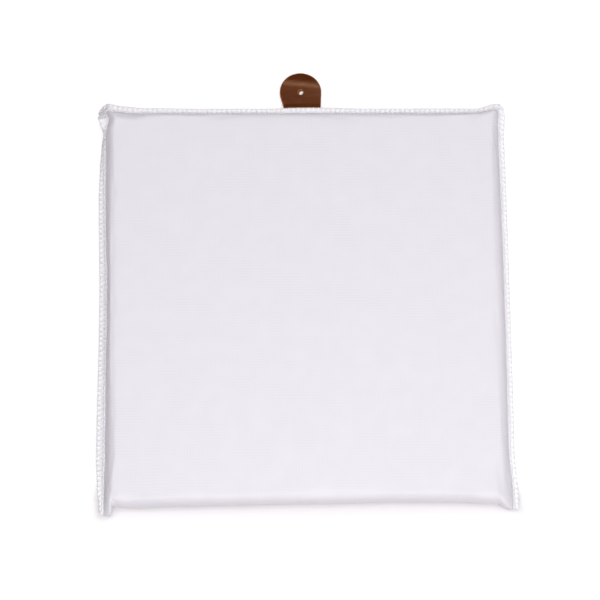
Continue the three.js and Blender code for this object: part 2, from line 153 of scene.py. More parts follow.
# Overlock thread
STITCH = 4.5 * MM
LOOPER_RADIUS = 0.45 * MM
NEEDLE_RADIUS = 0.45 * MM
LOOP_LIFT = 0.3 * MM  # how far the middle of the thread lies above the cloth
LOOP_INSET = 1.6 * MM
LOOP_OVERHANG = 0.35 * MM
LOOP_POINTS = 10
LOOP_FULLNESS = 0.85  # under 1 makes the loop's outer end broader
LOOP_LEAN = 0.14  # share of a stitch
EDGE_TURN = 0.8  # share of the way out where a loop begins to turn over the cut edge
EDGE_HEIGHT = 0.2 * MM  # how far above the middle of the layers it turns
NEEDLE_OUT = -0.2  # the needle's line lies inside the loops
NEEDLE_ARC = [(0.0, -0.2), (0.2, 0.9), (0.5, 1.15), (0.8, 0.9)]  # share of a stitch, height in millimetres
SIDE_MARGIN = 2 * MM  # bare seam at each end
BACK_MARGIN = 0.2 * MM
CHAIN_TAIL = [(183.6, -186.4, 9.4), (185.0, -186.6, 9.4), (186.2, -185.6, 9.5), (186.8, -183.6, 9.6)]

# Leather tab, which flexes at the part's one joint
TAB_X, FLEX_Y, _ = frame["joints"][0]["pos_m"]
TAB_RADIUS = 19.05 * MM
TAB_THICKNESS = 3.2 * MM
HOLE_Y = 201.3 * MM
HOLE_RADIUS = 2.3 * MM
HOLE_SLANT = Vector((1.1, -0.7, 0)) * MM
SLANT_REACH = 2 * MM
HOLE_RIM = 1 * MM
LEFT_FLANK = math.radians(16)
RIGHT_FLANK = math.radians(3)
ROOT_FRONT = 133.8 * MM
ROOT_BACK = 169.8 * MM
ROOT_LEFT = -16.08 * MM
ROOT_RIGHT = 17.92 * MM
ROOT_CORNER = 5 * MM
ROOT_MIDDLE_Z = 2.5 * MM
LIFT_Y = 173.8 * MM
STRAP_RUNS = [  # from the root to the tip: length, turn in degrees, steps
    (LIFT_Y - ROOT_FRONT, 0, 1), (7 * MM, 17, 8), (4 * MM, 0, 1), (5 * MM, -20, 8),
    (16.2 * MM, 0, 2), (9.5 * MM, -10, 12), (6 * MM, -1, 4),
]
BEND_SKEW = 0.12  # the tip bends down on a line a little askew
SKEW_START = 194 * MM
SKEW_END = 206 * MM
TIP_STEPS = 60
CORNER_STEPS = 6
HOLE_STEPS = 36
RIM_RINGS = [0.25 * MM, 0.4 * MM, 0.5 * MM]  # widths of the rings that round its edges, from the outside in
RIM_DROP = 0.28 * MM
RIM_CURVE = 1.3
EDGE_TILT = 0.85  # a face that points up or down less than this is part of a cut edge
STRAP_ROW = 0.8 * MM  # spacing of the cuts that let the strap bend
STRAP_ROWS = 108
STRAP_COLUMN = 1.5 * MM
STRAP_HALF_COLUMNS = 12
HOLLOW_Z = 4.4 * MM  # the hollow that the root presses into the pad
HOLLOW_MARGIN = 1.5 * MM
HOLLOW_RAMP = 12 * MM

# Box of lockstitch that holds the tab's root
BOX_INSET = 4 * MM
BOX_STITCH = 3.4 * MM
BOX_RADIUS = 0.25 * MM
BOX_ARC = [(0.0, -0.5), (0.12, 0.25), (0.5, 0.32), (0.88, 0.25)]  # share of a stitch, height in millimetres

# Floor, and the band along the front of the pad where it glows less: a painted shadow over the shadow that
# the lamps cast
FLOOR_HALF = 6
FLOOR_DROP = 0.2 * MM
SHADOW_X = 3 * MM
SHADOW_Y = -179.5 * MM
SHADOW_HALF_WIDTH = 180 * MM
SHADOW_NEAR = 1.5 * MM
SHADOW_FAR = 23.7 * MM
PAINTED_SHADOW_GLOW = 0.16
FLOOR_GLOW = 0.56

# Camera
ELEVATION = math.radians(76.5)
ROLL = math.radians(-0.722)
DISTANCE = 2.1354
AIM = Vector((-3.26, 4.16, 12.7)) * MM
VIEW_ANGLE = math.radians(14.3035)


def smooth_step(value, start, end):
    """0 before start, 1 after end, and an even curve between them."""
    share = min(1.0, max(0.0, (value - start) / (end - start)))
    return share * share * (3 - 2 * share)


def near(distance, reach):
    """1 at no distance, easing off to 0 at the end of the reach."""
    return 1 - smooth_step(distance, 0, reach)


def along_table(place, table):
    """The value that a sewing table gives for a place in metres, with smooth curves between its rows."""
    for (start, first), (end, last) in zip(table, table[1:]):
        if place / MM <= end:
            return first + (last - first) * smooth_step(place / MM, start, end)
    return table[-1][1]


def linear(colour):
    """A hex colour of the screen as linear light."""
    parts = [int(colour[k:k + 2], 16) / 255 for k in (1, 3, 5)]
    return tuple(p / 12.92 if p <= 0.04045 else ((p + 0.055) / 1.055) ** 2.4 for p in parts) + (1.0,)


def add_node(material, kind, inputs=(), **settings):
    """A shader node with its settings. An input is a value, or another node's output to link."""
    tree = material.node_tree
    node = tree.nodes.new(kind)
    for name, value in settings.items():
        setattr(node, name, value)
    for name, value in dict(inputs).items():
        if isinstance(value, bpy.types.NodeSocket):
            tree.links.new(value, node.inputs[name])
        else:
            node.inputs[name].default_value = value
    return node


def start_material(name, roughness, ior):
    """A material with a plain shader of that roughness and index of refraction."""
    material = bpy.data.materials.new(name)
    material.use_nodes = True
    shader = material.node_tree.nodes["Principled BSDF"]
    shader.inputs["Roughness"].default_value = roughness
    shader.inputs["IOR"].default_value = ior
    return material, shader


def new_piece(name, bm, *materials):
    """An object made from a bmesh, with smooth shading."""
    mesh = bpy.data.meshes.new(name)
    bm.to_mesh(mesh)
    bm.free()
    mesh.shade_smooth()
    for material in materials:
        mesh.materials.append(material)
    piece = bpy.data.objects.new(name, mesh)
    scene.collection.objects.link(piece)
    return piece


def on_pad(piece, slot, *nodes):
    """The piece rides on the pad and stands for these solids, which it hides. Its slot is not used."""
    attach(piece, "base")
    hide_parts(*nodes)


def cut_across(bm, place, way):
    """New edges where a plane through the place and square to the way crosses the mesh."""
    everything = bm.verts[:] + bm.edges[:] + bm.faces[:]
    bmesh.ops.bisect_plane(bm, geom=everything, plane_co=place, plane_no=way)


# Cover: one sheet, laid out in lines across and along it
class Station:
    """One line of the sheet, with how far it lies out in a sewn edge, up a wall or round the fold."""

    def __init__(self, place, out=0.0, turn=1.0, side=0, fold=None, layer=1):
        self.place = place
        self.out = out
        self.turn = turn
        self.side = side
        self.fold = fold
        self.layer = layer


def flat_places(start, end):
    """Places across the flat of the pad, closer together beside its walls."""
    way = math.copysign(MM, end - start)
    insets = [way * sum(EDGE_STEPS[:k]) for k in range(len(EDGE_STEPS) + 1)]
    inner_start = start + insets[-1]
    inner_end = end - insets[-1]
    places = [start + inset for inset in insets[:-1]]
    places += [inner_start + (inner_end - inner_start) * k / FLAT_CELLS for k in range(FLAT_CELLS)]
    return places + [end - inset for inset in insets[::-1]]


def edge_stations(seam, inward, wall_run, layer=1):
    """A sewn edge and the wall behind it, from the cut edge inwards."""
    stations = []
    for k in range(FIN_CELLS):
        stations.append(Station(seam, 1 - k / FIN_CELLS, 0.0, -inward, layer=layer))
    for k in range(WALL_CELLS):
        turn = k / WALL_CELLS
        run = wall_run * (1 - math.cos(turn * math.pi / 2))
        stations.append(Station(seam + inward * run, 0.0, turn, -inward, layer=layer))
    return stations


def sheet_columns():
    """The lines across the sheet, from its left cut edge to its right one."""
    flat = [Station(x) for x in flat_places(LEFT_RUN - HALF_SEAM, HALF_SEAM - RIGHT_RUN)]
    return edge_stations(-HALF_SEAM, 1, LEFT_RUN) + flat + edge_stations(HALF_SEAM, -1, RIGHT_RUN)[::-1]


def sheet_rows():
    """The lines along the sheet, from the top layer's back edge round the fold to the lower layer's."""
    flat = flat_places(HALF_SEAM - BACK_RUN, FRONT_RUN - HALF_SEAM)
    rows = edge_stations(HALF_SEAM, -1, BACK_RUN) + [Station(y) for y in flat]
    for k in range(1, FOLD_CELLS):
        rows.append(Station(-HALF_SEAM, fold=math.pi * (0.5 - k / FOLD_CELLS)))
    rows += [Station(y, layer=-1) for y in flat[::-1]]
    return rows + edge_stations(HALF_SEAM, -1, BACK_RUN, -1)[::-1]


def wall_rise(station):
    """Height of the sheet beside a seam, from 0 to 1. The left wall is a facet with a soft shoulder."""
    if station.side < 0 and station.turn < 1:
        lean = 1 - math.cos(station.turn * math.pi / 2)
        return min(LEFT_FACET * lean, 1 - LEFT_SHOULDER * (1 - lean) ** 2)
    return math.sin(station.turn * math.pi / 2)


def lower_of(across, along):
    """The lower of two wall heights, rounded where the two walls meet at a corner."""
    return max(0.0, 1 - ((1 - across) ** 3 + (1 - along) ** 3) ** (1 / 3))


def ear_pull(x, y):
    """How the seams draw the corners of the sheet out of the square."""
    pull = Vector()
    ears = {
        (-1, 1): BACK_LEFT_EAR, (1, 1): BACK_RIGHT_EAR,
        (-1, -1): FRONT_LEFT_EAR, (1, -1): FRONT_RIGHT_EAR,
    }
    for (side, end), (draw, reach_across, reach_along) in ears.items():
        share = near(HALF_SEAM - side * x, reach_across * MM) * near(HALF_SEAM - end * y, reach_along * MM)
        pull += Vector(draw) * MM * share
    return pull


def tip_reach(x):
    """How far the fold stands forward at a front corner, as a rounded tongue."""
    return along_table(HALF_SEAM - abs(x), LEFT_TIP if x < 0 else RIGHT_TIP) * MM


def back_shoulder(row):
    """1 on the line where the back wall turns into the top, easing off to its seam and across the top."""
    inset = HALF_SEAM - row.place
    if row.layer < 0:
        return 0.0
    return inset / BACK_RUN if inset < BACK_RUN else near(inset - BACK_RUN, DENT_REACH)


def hollow_height(x, y):
    """How far the tab's root presses the underside up."""
    left = smooth_step(x, ROOT_LEFT - HOLLOW_MARGIN - HOLLOW_RAMP, ROOT_LEFT - HOLLOW_MARGIN)
    right = 1 - smooth_step(x, ROOT_RIGHT + HOLLOW_MARGIN, ROOT_RIGHT + HOLLOW_MARGIN + HOLLOW_RAMP)
    front = smooth_step(y, ROOT_FRONT - HOLLOW_MARGIN - HOLLOW_RAMP, ROOT_FRONT - HOLLOW_MARGIN)
    return HOLLOW_Z * left * right * front


def body_point(column, row):
    """A point of the cover's outer face between its seams."""
    x = column.place
    rise_across = wall_rise(column)
    front = along_table(x, FRONT_LINE) * MM
    side_pull = 0.0
    if row.fold is None:
        rise = lower_of(rise_across, wall_rise(row))
        y = row.place + (front + HALF_SEAM) * near(row.place + HALF_SEAM, FRONT_REACH)
        y -= along_table(x, BACK_DENT) * MM * back_shoulder(row)
        z = row.layer * (FIN_HALF + (SEAM_Z - FIN_HALF) * rise)
    else:
        tip = tip_reach(x)
        if x < 0:
            inset = x + HALF_SEAM
            lean = min(1.0, inset / TONGUE_RUN)
            rise_across += (lean - rise_across) * smooth_step(math.pi / 2 - abs(row.fold), 0, TONGUE_TURN)
            lip = smooth_step(inset, LIP_START, LEFT_RUN) - smooth_step(inset, LEFT_RUN, LIP_END)
            side_pull += TONGUE_LIP * lip * math.cos(row.fold)
        y = front + FRONT_RUN - (FRONT_RUN + tip) * math.cos(row.fold)
        blunt = 1 - TIP_BLUNT * min(1.0, tip / TIP_FULL)
        up = math.copysign(abs(math.sin(row.fold)) ** blunt, row.fold)
        z = (FIN_HALF + (SEAM_Z - FIN_HALF) * rise_across) * up
    if z > 0:
        z += CROWN * max(0.0, 1 - (x / HALF_SEAM) ** 2) * max(0.0, 1 - (y / HALF_SEAM) ** 2)
    else:
        z = max(z, hollow_height(x, y) - SEAM_Z)
    skew = BACK_SKEW * x / HALF_SEAM * max(0.0, y + HALF_SEAM) / (2 * HALF_SEAM)
    side_pull += along_table(y, LEFT_PULL) * MM * near(HALF_SEAM + x, PULL_REACH)
    side_pull += RIGHT_BULGE * max(0.0, 1 - (y / HALF_SEAM) ** 2) * near(HALF_SEAM - x, BULGE_REACH)
    on_wall = min(LEFT_RUN, x + HALF_SEAM)
    side_pull -= along_table(y, LEFT_SQUEEZE) * on_wall * near(x + HALF_SEAM - LEFT_RUN, PULL_REACH)
    point = Vector((x + side_pull, y - skew, SEAM_Z + z)) + ear_pull(x, y)
    point.z = max(point.z, 0.0)
    return point


def sag_share(share, fall):
    """How far down a sewn edge has come. It falls most beside its seam, unless the whole edge hangs."""
    return share + share * (1 - share) * (1 - smooth_step(fall, *HANGING_FALL))


def edge_step(out_way, share, place, droop_table, width_table):
    """From a seam to a share of the way out to the cut edge."""
    droop = math.radians(along_table(place, droop_table))
    width = along_table(place, width_table) * MM
    fall = math.sin(droop)
    return (out_way * share * math.cos(droop) - Vector((0, 0, sag_share(share, fall) * fall))) * width


def sheet_point(column, row):
    """A point of the cover's outer face, its sewn edges included."""
    point = body_point(column, row)
    across, along = column.out, row.out
    if across and along:
        across, along = across * math.sqrt(1 - along ** 2 / 2), along * math.sqrt(1 - across ** 2 / 2)
    x, y = point.x, point.y
    if column.side < 0:
        point += edge_step(Vector((-1, 0, 0)), across, y, LEFT_DROOP, LEFT_WIDTH)
    else:
        point += edge_step(Vector((1, 0, 0)), across, y, RIGHT_DROOP, RIGHT_WIDTH)
    return point + edge_step(Vector((0, 1, 0)), along, x, BACK_DROOP, BACK_WIDTH)


COLUMNS = sheet_columns()
ROWS = sheet_rows()


def cut_lengths(stations):
    """Where each line lies on the flat cloth before it is sewn."""
    wall = math.pi / 2 * math.sqrt((RIGHT_RUN ** 2 + SEAM_Z ** 2) / 2)
    lengths = [0.0]
    for first, second in zip(stations, stations[1:]):
        if first.fold is not None or second.fold is not None:
            step = 2 * wall / FOLD_CELLS
        elif first.turn < 1 or second.turn < 1:
            step = wall / WALL_CELLS
        else:
            step = abs(second.place - first.place)
        if first.out or second.out:
            step = FIN_CLOTH / FIN_CELLS
        lengths.append(lengths[-1] + step)
    return lengths


def build_cover(laminate):
    """The sheet as it is sewn, with its places on the flat cloth kept as a map for the weave."""
    bm = bmesh.new()
    bmesh.ops.create_grid(bm, x_segments=len(COLUMNS) - 1, y_segments=len(ROWS) - 1, size=1)
    across = cut_lengths(COLUMNS)
    along = cut_lengths(ROWS)
    lines = {}
    held = []
    edge_cloth = bm.verts.layers.float.new("edge_cloth")
    bm.verts.index_update()
    for vert in bm.verts:
        i = round((vert.co.x + 1) / 2 * (len(COLUMNS) - 1))
        j = round((1 - vert.co.y) / 2 * (len(ROWS) - 1))
        lines[vert] = (i, j)
        column, row = COLUMNS[i], ROWS[j]
        vert.co = sheet_point(column, row)
        vert[edge_cloth] = max(column.out, row.out)
        under = row.layer < 0 or (row.fold is not None and row.fold < 0)
        if column.turn == 0 or row.turn == 0 or under:
            held.append(vert.index)
    cloth_map = bm.loops.layers.uv.new("flat_cloth")
    for face in bm.faces:
        for loop in face.loops:
            i, j = lines[loop.vert]
            loop[cloth_map].uv = (across[i], along[j])
    return new_piece("cover_sheet", bm, laminate), held


def settle_cover(cover, held):
    """Cloth settling: the seams and the ground hold the sheet, and its slack goes into soft puckers."""
    cover.vertex_groups.new(name="held").add(held, 1.0, "REPLACE")
    cloth = cover.modifiers.new("settling", "CLOTH")
    cloth.settings.vertex_group_mass = "held"
    cloth.settings.effector_weights.gravity = 0
    cloth.settings.use_pressure = True
    cloth.settings.uniform_pressure_force = CUSHION_PRESSURE
    cloth.settings.shrink_min = -CLOTH_SLACK
    cloth.collision_settings.use_collision = False
    for moment in range(1, SETTLING_FRAMES + 1):
        scene.frame_set(moment)
    shape = cover.evaluated_get(bpy.context.evaluated_depsgraph_get())
    moves = [new.co - old.co for new, old in zip(shape.data.vertices, cover.data.vertices)]
    cover.modifiers.remove(cloth)
    scene.frame_set(1)
    for vert, move in zip(cover.data.vertices, moves):
        vert.co += move * min(1.0, SETTLING_CAP / max(move.length, 1e-9))


# Foam core
def build_foam(foam_finish):
    """A slab of foam with its edges pressed round by the cover and a hollow over the tab's root."""
    bm = bmesh.new()
    bmesh.ops.create_cube(bm, size=1)
    left, right = FOAM_LEFT - HALF_SEAM, HALF_SEAM - FOAM_RIGHT
    front, back = FOAM_FRONT - HALF_SEAM, HALF_SEAM - FOAM_BACK
    thick = HEIGHT - 2 * FOAM_SINK
    bmesh.ops.scale(bm, vec=(right - left, back - front, thick), verts=bm.verts)
    bmesh.ops.translate(bm, vec=((left + right) / 2, (front + back) / 2, SEAM_Z), verts=bm.verts)
    upright = [e for e in bm.edges if abs(e.verts[0].co.z - e.verts[1].co.z) > thick / 2]
    bmesh.ops.bevel(
        bm, geom=upright, offset=FOAM_CORNER, segments=FOAM_SEGMENTS, affect="EDGES", profile=0.5,
        material=-1)
    rims = [e for e in bm.edges if abs(e.verts[0].co.z - e.verts[1].co.z) < thick / 2]
    bmesh.ops.bevel(
        bm, geom=rims, offset=thick * FOAM_ROUND, segments=FOAM_SEGMENTS, affect="EDGES", profile=0.5,
        material=-1)
    reach = HOLLOW_MARGIN + HOLLOW_RAMP
    for x in (ROOT_LEFT - reach, ROOT_LEFT - HOLLOW_MARGIN, ROOT_RIGHT + HOLLOW_MARGIN, ROOT_RIGHT + reach):
        cut_across(bm, (x, 0, 0), (1, 0, 0))
    for y in (ROOT_FRONT - reach, ROOT_FRONT - HOLLOW_MARGIN):
        cut_across(bm, (0, y, 0), (0, 1, 0))
    for vert in bm.verts:
        if vert.co.z < SEAM_Z:
            vert.co.z = max(vert.co.z, hollow_height(vert.co.x, vert.co.y) + FOAM_SINK)
    return new_piece("foam_slab", bm, foam_finish)


# Overlocked edges
class SewnEdge:
    """The line of a seam and of the cut edge beside it, with the middle between the two layers."""

    def __init__(self, stations):
        seam, edge = [], []
        for top_seam, under_seam, top_edge, under_edge in stations:
            seam.append((sheet_point(*top_seam) + sheet_point(*under_seam)) / 2)
            edge.append((sheet_point(*top_edge) + sheet_point(*under_edge)) / 2)
        self.seam = seam
        self.edge = edge
        self.lengths = [0.0]
        for first, second in zip(seam, seam[1:]):
            self.lengths.append(self.lengths[-1] + (second - first).length)

    def place(self, distance, out, height):
        """A point that far along the seam, out from it and above the middle. Out is 1 at the cut edge."""
        k = 0
        while k < len(self.lengths) - 2 and self.lengths[k + 1] < distance:
            k += 1
        share = (distance - self.lengths[k]) / (self.lengths[k + 1] - self.lengths[k])
        root = self.seam[k].lerp(self.seam[k + 1], share)
        way = self.edge[k].lerp(self.edge[k + 1], share) - root
        along = self.seam[k + 1] - self.seam[k]
        rise = along.cross(way).normalized()
        if rise.z < 0:
            rise.negate()
        width = way.length
        reach = LOOP_INSET + (width + LOOP_OVERHANG - LOOP_INSET) * out
        share = min(1.0, reach / width)
        sag = Vector((0, 0, way.z * (sag_share(share, -way.z / width) - share)))
        return root + way.normalized() * reach + sag + rise * height


def side_edge(column_seam, column_edge):
    """A side's sewn edge, from the back corner to the tip of the front corner."""
    last = len(ROWS) - 1
    stations = []
    for j in range(FIN_CELLS, last // 2 + 1):
        top, under = ROWS[j], ROWS[last - j]
        stations.append((
            (COLUMNS[column_seam], top), (COLUMNS[column_seam], under),
            (COLUMNS[column_edge], top), (COLUMNS[column_edge], under),
        ))
    return SewnEdge(stations)


def back_edge():
    """The back's sewn edge, from the left corner to the right one."""
    last = len(ROWS) - 1
    stations = []
    for column in COLUMNS:
        stations.append((
            (column, ROWS[FIN_CELLS]), (column, ROWS[last - FIN_CELLS]),
            (column, ROWS[0]), (column, ROWS[last]),
        ))
    return SewnEdge(stations)


def thread_piece(name, points, radius, material):
    """A round thread laid along points, made a mesh."""
    curve = bpy.data.curves.new(name, "CURVE")
    curve.dimensions = "3D"
    curve.bevel_depth = radius
    curve.bevel_resolution = 1
    curve.use_fill_caps = True
    spline = curve.splines.new("POLY")
    spline.points.add(len(points) - 1)
    for spot, point in zip(spline.points, points):
        spot.co = (*point, 1)
    laid = bpy.data.objects.new(name + "_line", curve)
    scene.collection.objects.link(laid)
    shape = laid.evaluated_get(bpy.context.evaluated_depsgraph_get())
    mesh = bpy.data.meshes.new_from_object(shape)
    mesh.name = name
    mesh.shade_smooth()
    mesh.materials.clear()
    mesh.materials.append(material)
    bpy.data.objects.remove(laid)
    piece = bpy.data.objects.new(name, mesh)
    scene.collection.objects.link(piece)
    return piece


def looper_points(edge, first, count, layer):
    """Loops between the needle's line and the cut edge, leaning along the seam, on one face of the edge."""
    points = []
    shift = 0.0 if layer > 0 else 0.5
    for k in range(count * LOOP_POINTS + 1):
        turn = k / LOOP_POINTS
        swing = 2 * math.pi * (turn + shift)
        out = (0.5 - 0.5 * math.cos(swing)) ** LOOP_FULLNESS
        lean = -LOOP_LEAN * math.sin(swing)
        over_edge = smooth_step(out, EDGE_TURN, 1.0)
        height = (FIN_HALF + LOOP_LIFT) * (1 - over_edge) + EDGE_HEIGHT * over_edge
        points.append(edge.place(first + (turn + lean) * STITCH, out, layer * height))
    return points


def needle_points(edge, first, count):
    """A row of stitches, each rising over a loop and going down into the cloth."""
    points = []
    for k in range(count):
        for share, lift in NEEDLE_ARC:
            height = FIN_HALF + lift * MM
            points.append(edge.place(first + (k + share) * STITCH, NEEDLE_OUT, height))
    return points


def sew_edge(name, edge, margin, thread, tail=()):
    """The three threads of an overlocked edge. A tail is the chain's end, left where the seam runs off."""
    length = edge.lengths[-1] - 2 * margin
    count = int(length / STITCH)
    first = margin + (length - count * STITCH) / 2
    upper_points = looper_points(edge, first, count, 1) + [Vector(point) * MM for point in tail]
    laid = {
        "upper_looper_thread": thread_piece(name + "_upper_loops", upper_points, LOOPER_RADIUS, thread),
        "lower_looper_thread": thread_piece(
            name + "_lower_loops", looper_points(edge, first, count, -1), LOOPER_RADIUS, thread),
        "needle_thread": thread_piece(
            name + "_needle_stitches", needle_points(edge, first, count), NEEDLE_RADIUS, thread),
    }
    for node, piece in laid.items():
        on_pad(piece, "thread", f"{name}_{node}")


# Leather tab
class StrapLine:
    """The strap's middle line seen from its side: straight runs and bends, from the root to the tip."""

    def __init__(self):
        y, z, angle = ROOT_FRONT, ROOT_MIDDLE_Z, 0.0
        self.marks = [(y, z, angle)]
        for length, turn, steps in STRAP_RUNS:
            for _ in range(steps):
                bend = math.radians(turn) / steps
                y += length / steps * math.cos(angle + bend / 2)
                z += length / steps * math.sin(angle + bend / 2)
                angle += bend
                self.marks.append((y, z, angle))

    def bend(self, point):
        """A point of the flat strap, with its height from the middle, moved onto the bent one."""
        k = 0
        along = point.y + BEND_SKEW * (point.x - TAB_X) * smooth_step(point.y, SKEW_START, SKEW_END)
        while k < len(self.marks) - 2 and self.marks[k + 1][0] < along:
            k += 1
        (y0, z0, angle0), (y1, z1, angle1) = self.marks[k], self.marks[k + 1]
        share = (along - y0) / (y1 - y0)
        angle = angle0 + (angle1 - angle0) * min(1.0, max(0.0, share))
        z = z0 + (z1 - z0) * share
        return Vector((point.x, point.y - point.z * math.sin(angle), z + point.z * math.cos(angle)))


def extend_outline(bm, vert, *places):
    """Straight sides added to an open outline."""
    for place in places:
        new = bmesh.ops.extrude_vert_indiv(bm, verts=[vert])["verts"][0]
        new.co = place
        vert = new
    return vert


def turn_outline(bm, vert, centre, angle, steps):
    """A round corner or end added to an open outline."""
    spun = bmesh.ops.spin(
        bm, geom=[vert], cent=centre, axis=(0, 0, 1), angle=angle, steps=steps, use_duplicate=False)
    return next(item for item in spun["geom_last"] if isinstance(item, bmesh.types.BMVert))


def tab_outline(bm):
    """The strap's plan: a round end about the stake hole, leaning flanks and a root with round corners."""
    hole = Vector((TAB_X, HOLE_Y, 0))
    start = hole + TAB_RADIUS * Vector((math.cos(RIGHT_FLANK), -math.sin(RIGHT_FLANK), 0))
    first = bm.verts.new(start)
    vert = turn_outline(bm, first, hole, math.pi + LEFT_FLANK + RIGHT_FLANK, TIP_STEPS)
    corner_y = ROOT_FRONT + ROOT_CORNER
    vert = extend_outline(bm, vert, (ROOT_LEFT, FLEX_Y, 0), (ROOT_LEFT, corner_y, 0))
    vert = turn_outline(bm, vert, (ROOT_LEFT + ROOT_CORNER, corner_y, 0), math.pi / 2, CORNER_STEPS)
    vert = extend_outline(bm, vert, (ROOT_RIGHT - ROOT_CORNER, ROOT_FRONT, 0))
    vert = turn_outline(bm, vert, (ROOT_RIGHT - ROOT_CORNER, corner_y, 0), math.pi / 2, CORNER_STEPS)
    vert = extend_outline(bm, vert, (ROOT_RIGHT, FLEX_Y, 0))
    bm.edges.new((vert, first))
    bmesh.ops.create_circle(bm, segments=HOLE_STEPS, radius=HOLE_RADIUS, matrix=Matrix.Translation(hole))
    bmesh.ops.triangle_fill(bm, edges=bm.edges[:], use_beauty=True, normal=(0, 0, 1))


def build_tab(leather, burnished, raw):
    """One strap of leather with a punched hole and rounded edges, bent where it leaves the pad."""
    bm = bmesh.new()
    tab_outline(bm)
    rim = bm.verts.layers.float.new("rim")
    for vert in bm.verts:
        vert[rim] = 2
    for ring, width in enumerate(RIM_RINGS):
        mark = 1 - ring
        before = set(bm.verts)
        inner = [f for f in bm.faces if all(v[rim] == mark + 1 for v in f.verts)]
        bmesh.ops.inset_region(bm, faces=inner, thickness=width, use_boundary=True, use_even_offset=True)
        for vert in set(bm.verts) - before:
            vert[rim] = mark
    for k in range(1, STRAP_ROWS + 1):
        cut_across(bm, (0, ROOT_FRONT + STRAP_ROW * k, 0), (0, 1, 0))
    for k in range(-STRAP_HALF_COLUMNS, STRAP_HALF_COLUMNS + 1):
        cut_across(bm, (TAB_X + STRAP_COLUMN * k, 0, 0), (1, 0, 0))
    grown = bmesh.ops.extrude_face_region(bm, geom=bm.faces[:])
    top = {item for item in grown["geom"] if isinstance(item, bmesh.types.BMVert)}
    line = StrapLine()
    hole = Vector((TAB_X, HOLE_Y, 0))
    for vert in bm.verts:
        face_z = TAB_THICKNESS / 2 - RIM_DROP * max(0.0, vert[rim]) ** RIM_CURVE
        if vert not in top:
            face_z = -face_z
            slant = near((vert.co - hole).length - HOLE_RADIUS, SLANT_REACH)
            vert.co += HOLE_SLANT * slant
        vert.co.z = face_z
    bmesh.ops.recalc_face_normals(bm, faces=bm.faces)
    for face in bm.faces:
        by_hole = (face.calc_center_median() - hole).to_2d().length < HOLE_RADIUS + HOLE_RIM
        if abs(face.normal.z) < EDGE_TILT:
            face.material_index = 2 if by_hole else 1
    for vert in bm.verts:
        vert.co = line.bend(vert.co)
    piece = new_piece("leather_tab", bm, leather, burnished, raw)
    even = piece.modifiers.new("even_face", "WEIGHTED_NORMAL")
    even.weight = 100
    return piece


def stitch_box(name, z, way, material):
    """A box of lockstitch round the root: each stitch lies on the face and goes into it at its ends."""
    x0, x1 = ROOT_LEFT + BOX_INSET, ROOT_RIGHT - BOX_INSET
    y0, y1 = ROOT_FRONT + BOX_INSET, ROOT_BACK - BOX_INSET
    corners = [Vector((x0, y0, 0)), Vector((x1, y0, 0)), Vector((x1, y1, 0)), Vector((x0, y1, 0))]
    points = []
    for first, second in zip(corners, corners[1:] + corners[:1]):
        count = round((second - first).length / BOX_STITCH)
        for k in range(count):
            for share, lift in BOX_ARC:
                spot = first.lerp(second, (k + share) / count)
                spot.z = z + way * lift * MM
                points.append(spot)
    points.append(points[0].copy())
    return thread_piece(name, points, BOX_RADIUS, material)


# Finishes
# Vinyl-laminated nylon: white film over a square weave, so the light breaks up on faint ribs both ways
laminate, shader = start_material("vinyl_laminated_nylon", 0.46, 1.5)
cloth_place = add_node(laminate, "ShaderNodeUVMap", uv_map="flat_cloth")
rib_scale = 2 * math.pi / (20 * RIB)
warp = add_node(
    laminate, "ShaderNodeTexWave", {"Vector": cloth_place.outputs[0], "Scale": rib_scale},
    bands_direction="X")
weft = add_node(
    laminate, "ShaderNodeTexWave", {"Vector": cloth_place.outputs[0], "Scale": rib_scale},
    bands_direction="Y")
spread = add_node(
    laminate, "ShaderNodeTexNoise", {"Vector": cloth_place.outputs[0], "Scale": 1 / (18 * MM), "Detail": 2})
contrast = add_node(
    laminate, "ShaderNodeBrightContrast", {"Color": spread.outputs["Color"], "Contrast": 1.2})
patches = add_node(laminate, "ShaderNodeSeparateColor", {"Color": contrast.outputs["Color"]})
warp_seen = add_node(
    laminate, "ShaderNodeMath", {0: warp.outputs["Fac"], 1: patches.outputs["Red"]}, operation="MULTIPLY")
ribs = add_node(
    laminate, "ShaderNodeMath",
    {0: weft.outputs["Fac"], 1: patches.outputs["Green"], 2: warp_seen.outputs[0]},
    operation="MULTIPLY_ADD")
film = add_node(
    laminate, "ShaderNodeMix",
    {"Factor": ribs.outputs[0], "A": linear("#F3EEF6"), "B": linear("#EEEAF1")}, data_type="RGBA")
# Painted light: the outer part of each sewn edge is painted near white, brighter than the film, standing in
# for the light it catches; its inner part keeps the film's colour
outward = add_node(laminate, "ShaderNodeAttribute", attribute_name="edge_cloth")
painted_edge_light = add_node(
    laminate, "ShaderNodeMapRange", {"Value": outward.outputs["Fac"], "From Min": 0.4, "From Max": 0.85})
whole = add_node(
    laminate, "ShaderNodeMix",
    {"Factor": painted_edge_light.outputs[0], "A": film.outputs["Result"], "B": linear("#FEFDFF")}, data_type="RGBA")
relief = add_node(
    laminate, "ShaderNodeBump", {"Height": ribs.outputs[0], "Strength": 0.25, "Distance": 0.06 * MM})
laminate.node_tree.links.new(whole.outputs["Result"], shader.inputs["Base Color"])
laminate.node_tree.links.new(relief.outputs[0], shader.inputs["Normal"])

# Polyurethane foam: matt cream with open cells
foam_finish, shader = start_material("polyurethane_foam", 0.95, 1.4)
place = add_node(foam_finish, "ShaderNodeTexCoord")
cells = add_node(
    foam_finish, "ShaderNodeTexVoronoi", {"Vector": place.outputs["Object"], "Scale": 1 / (1.2 * MM)})
shade = add_node(
    foam_finish, "ShaderNodeMix",
    {"Factor": cells.outputs["Distance"], "A": linear("#E6DCC0"), "B": linear("#F4ECD6")}, data_type="RGBA")
foam_finish.node_tree.links.new(shade.outputs["Result"], shader.inputs["Base Color"])

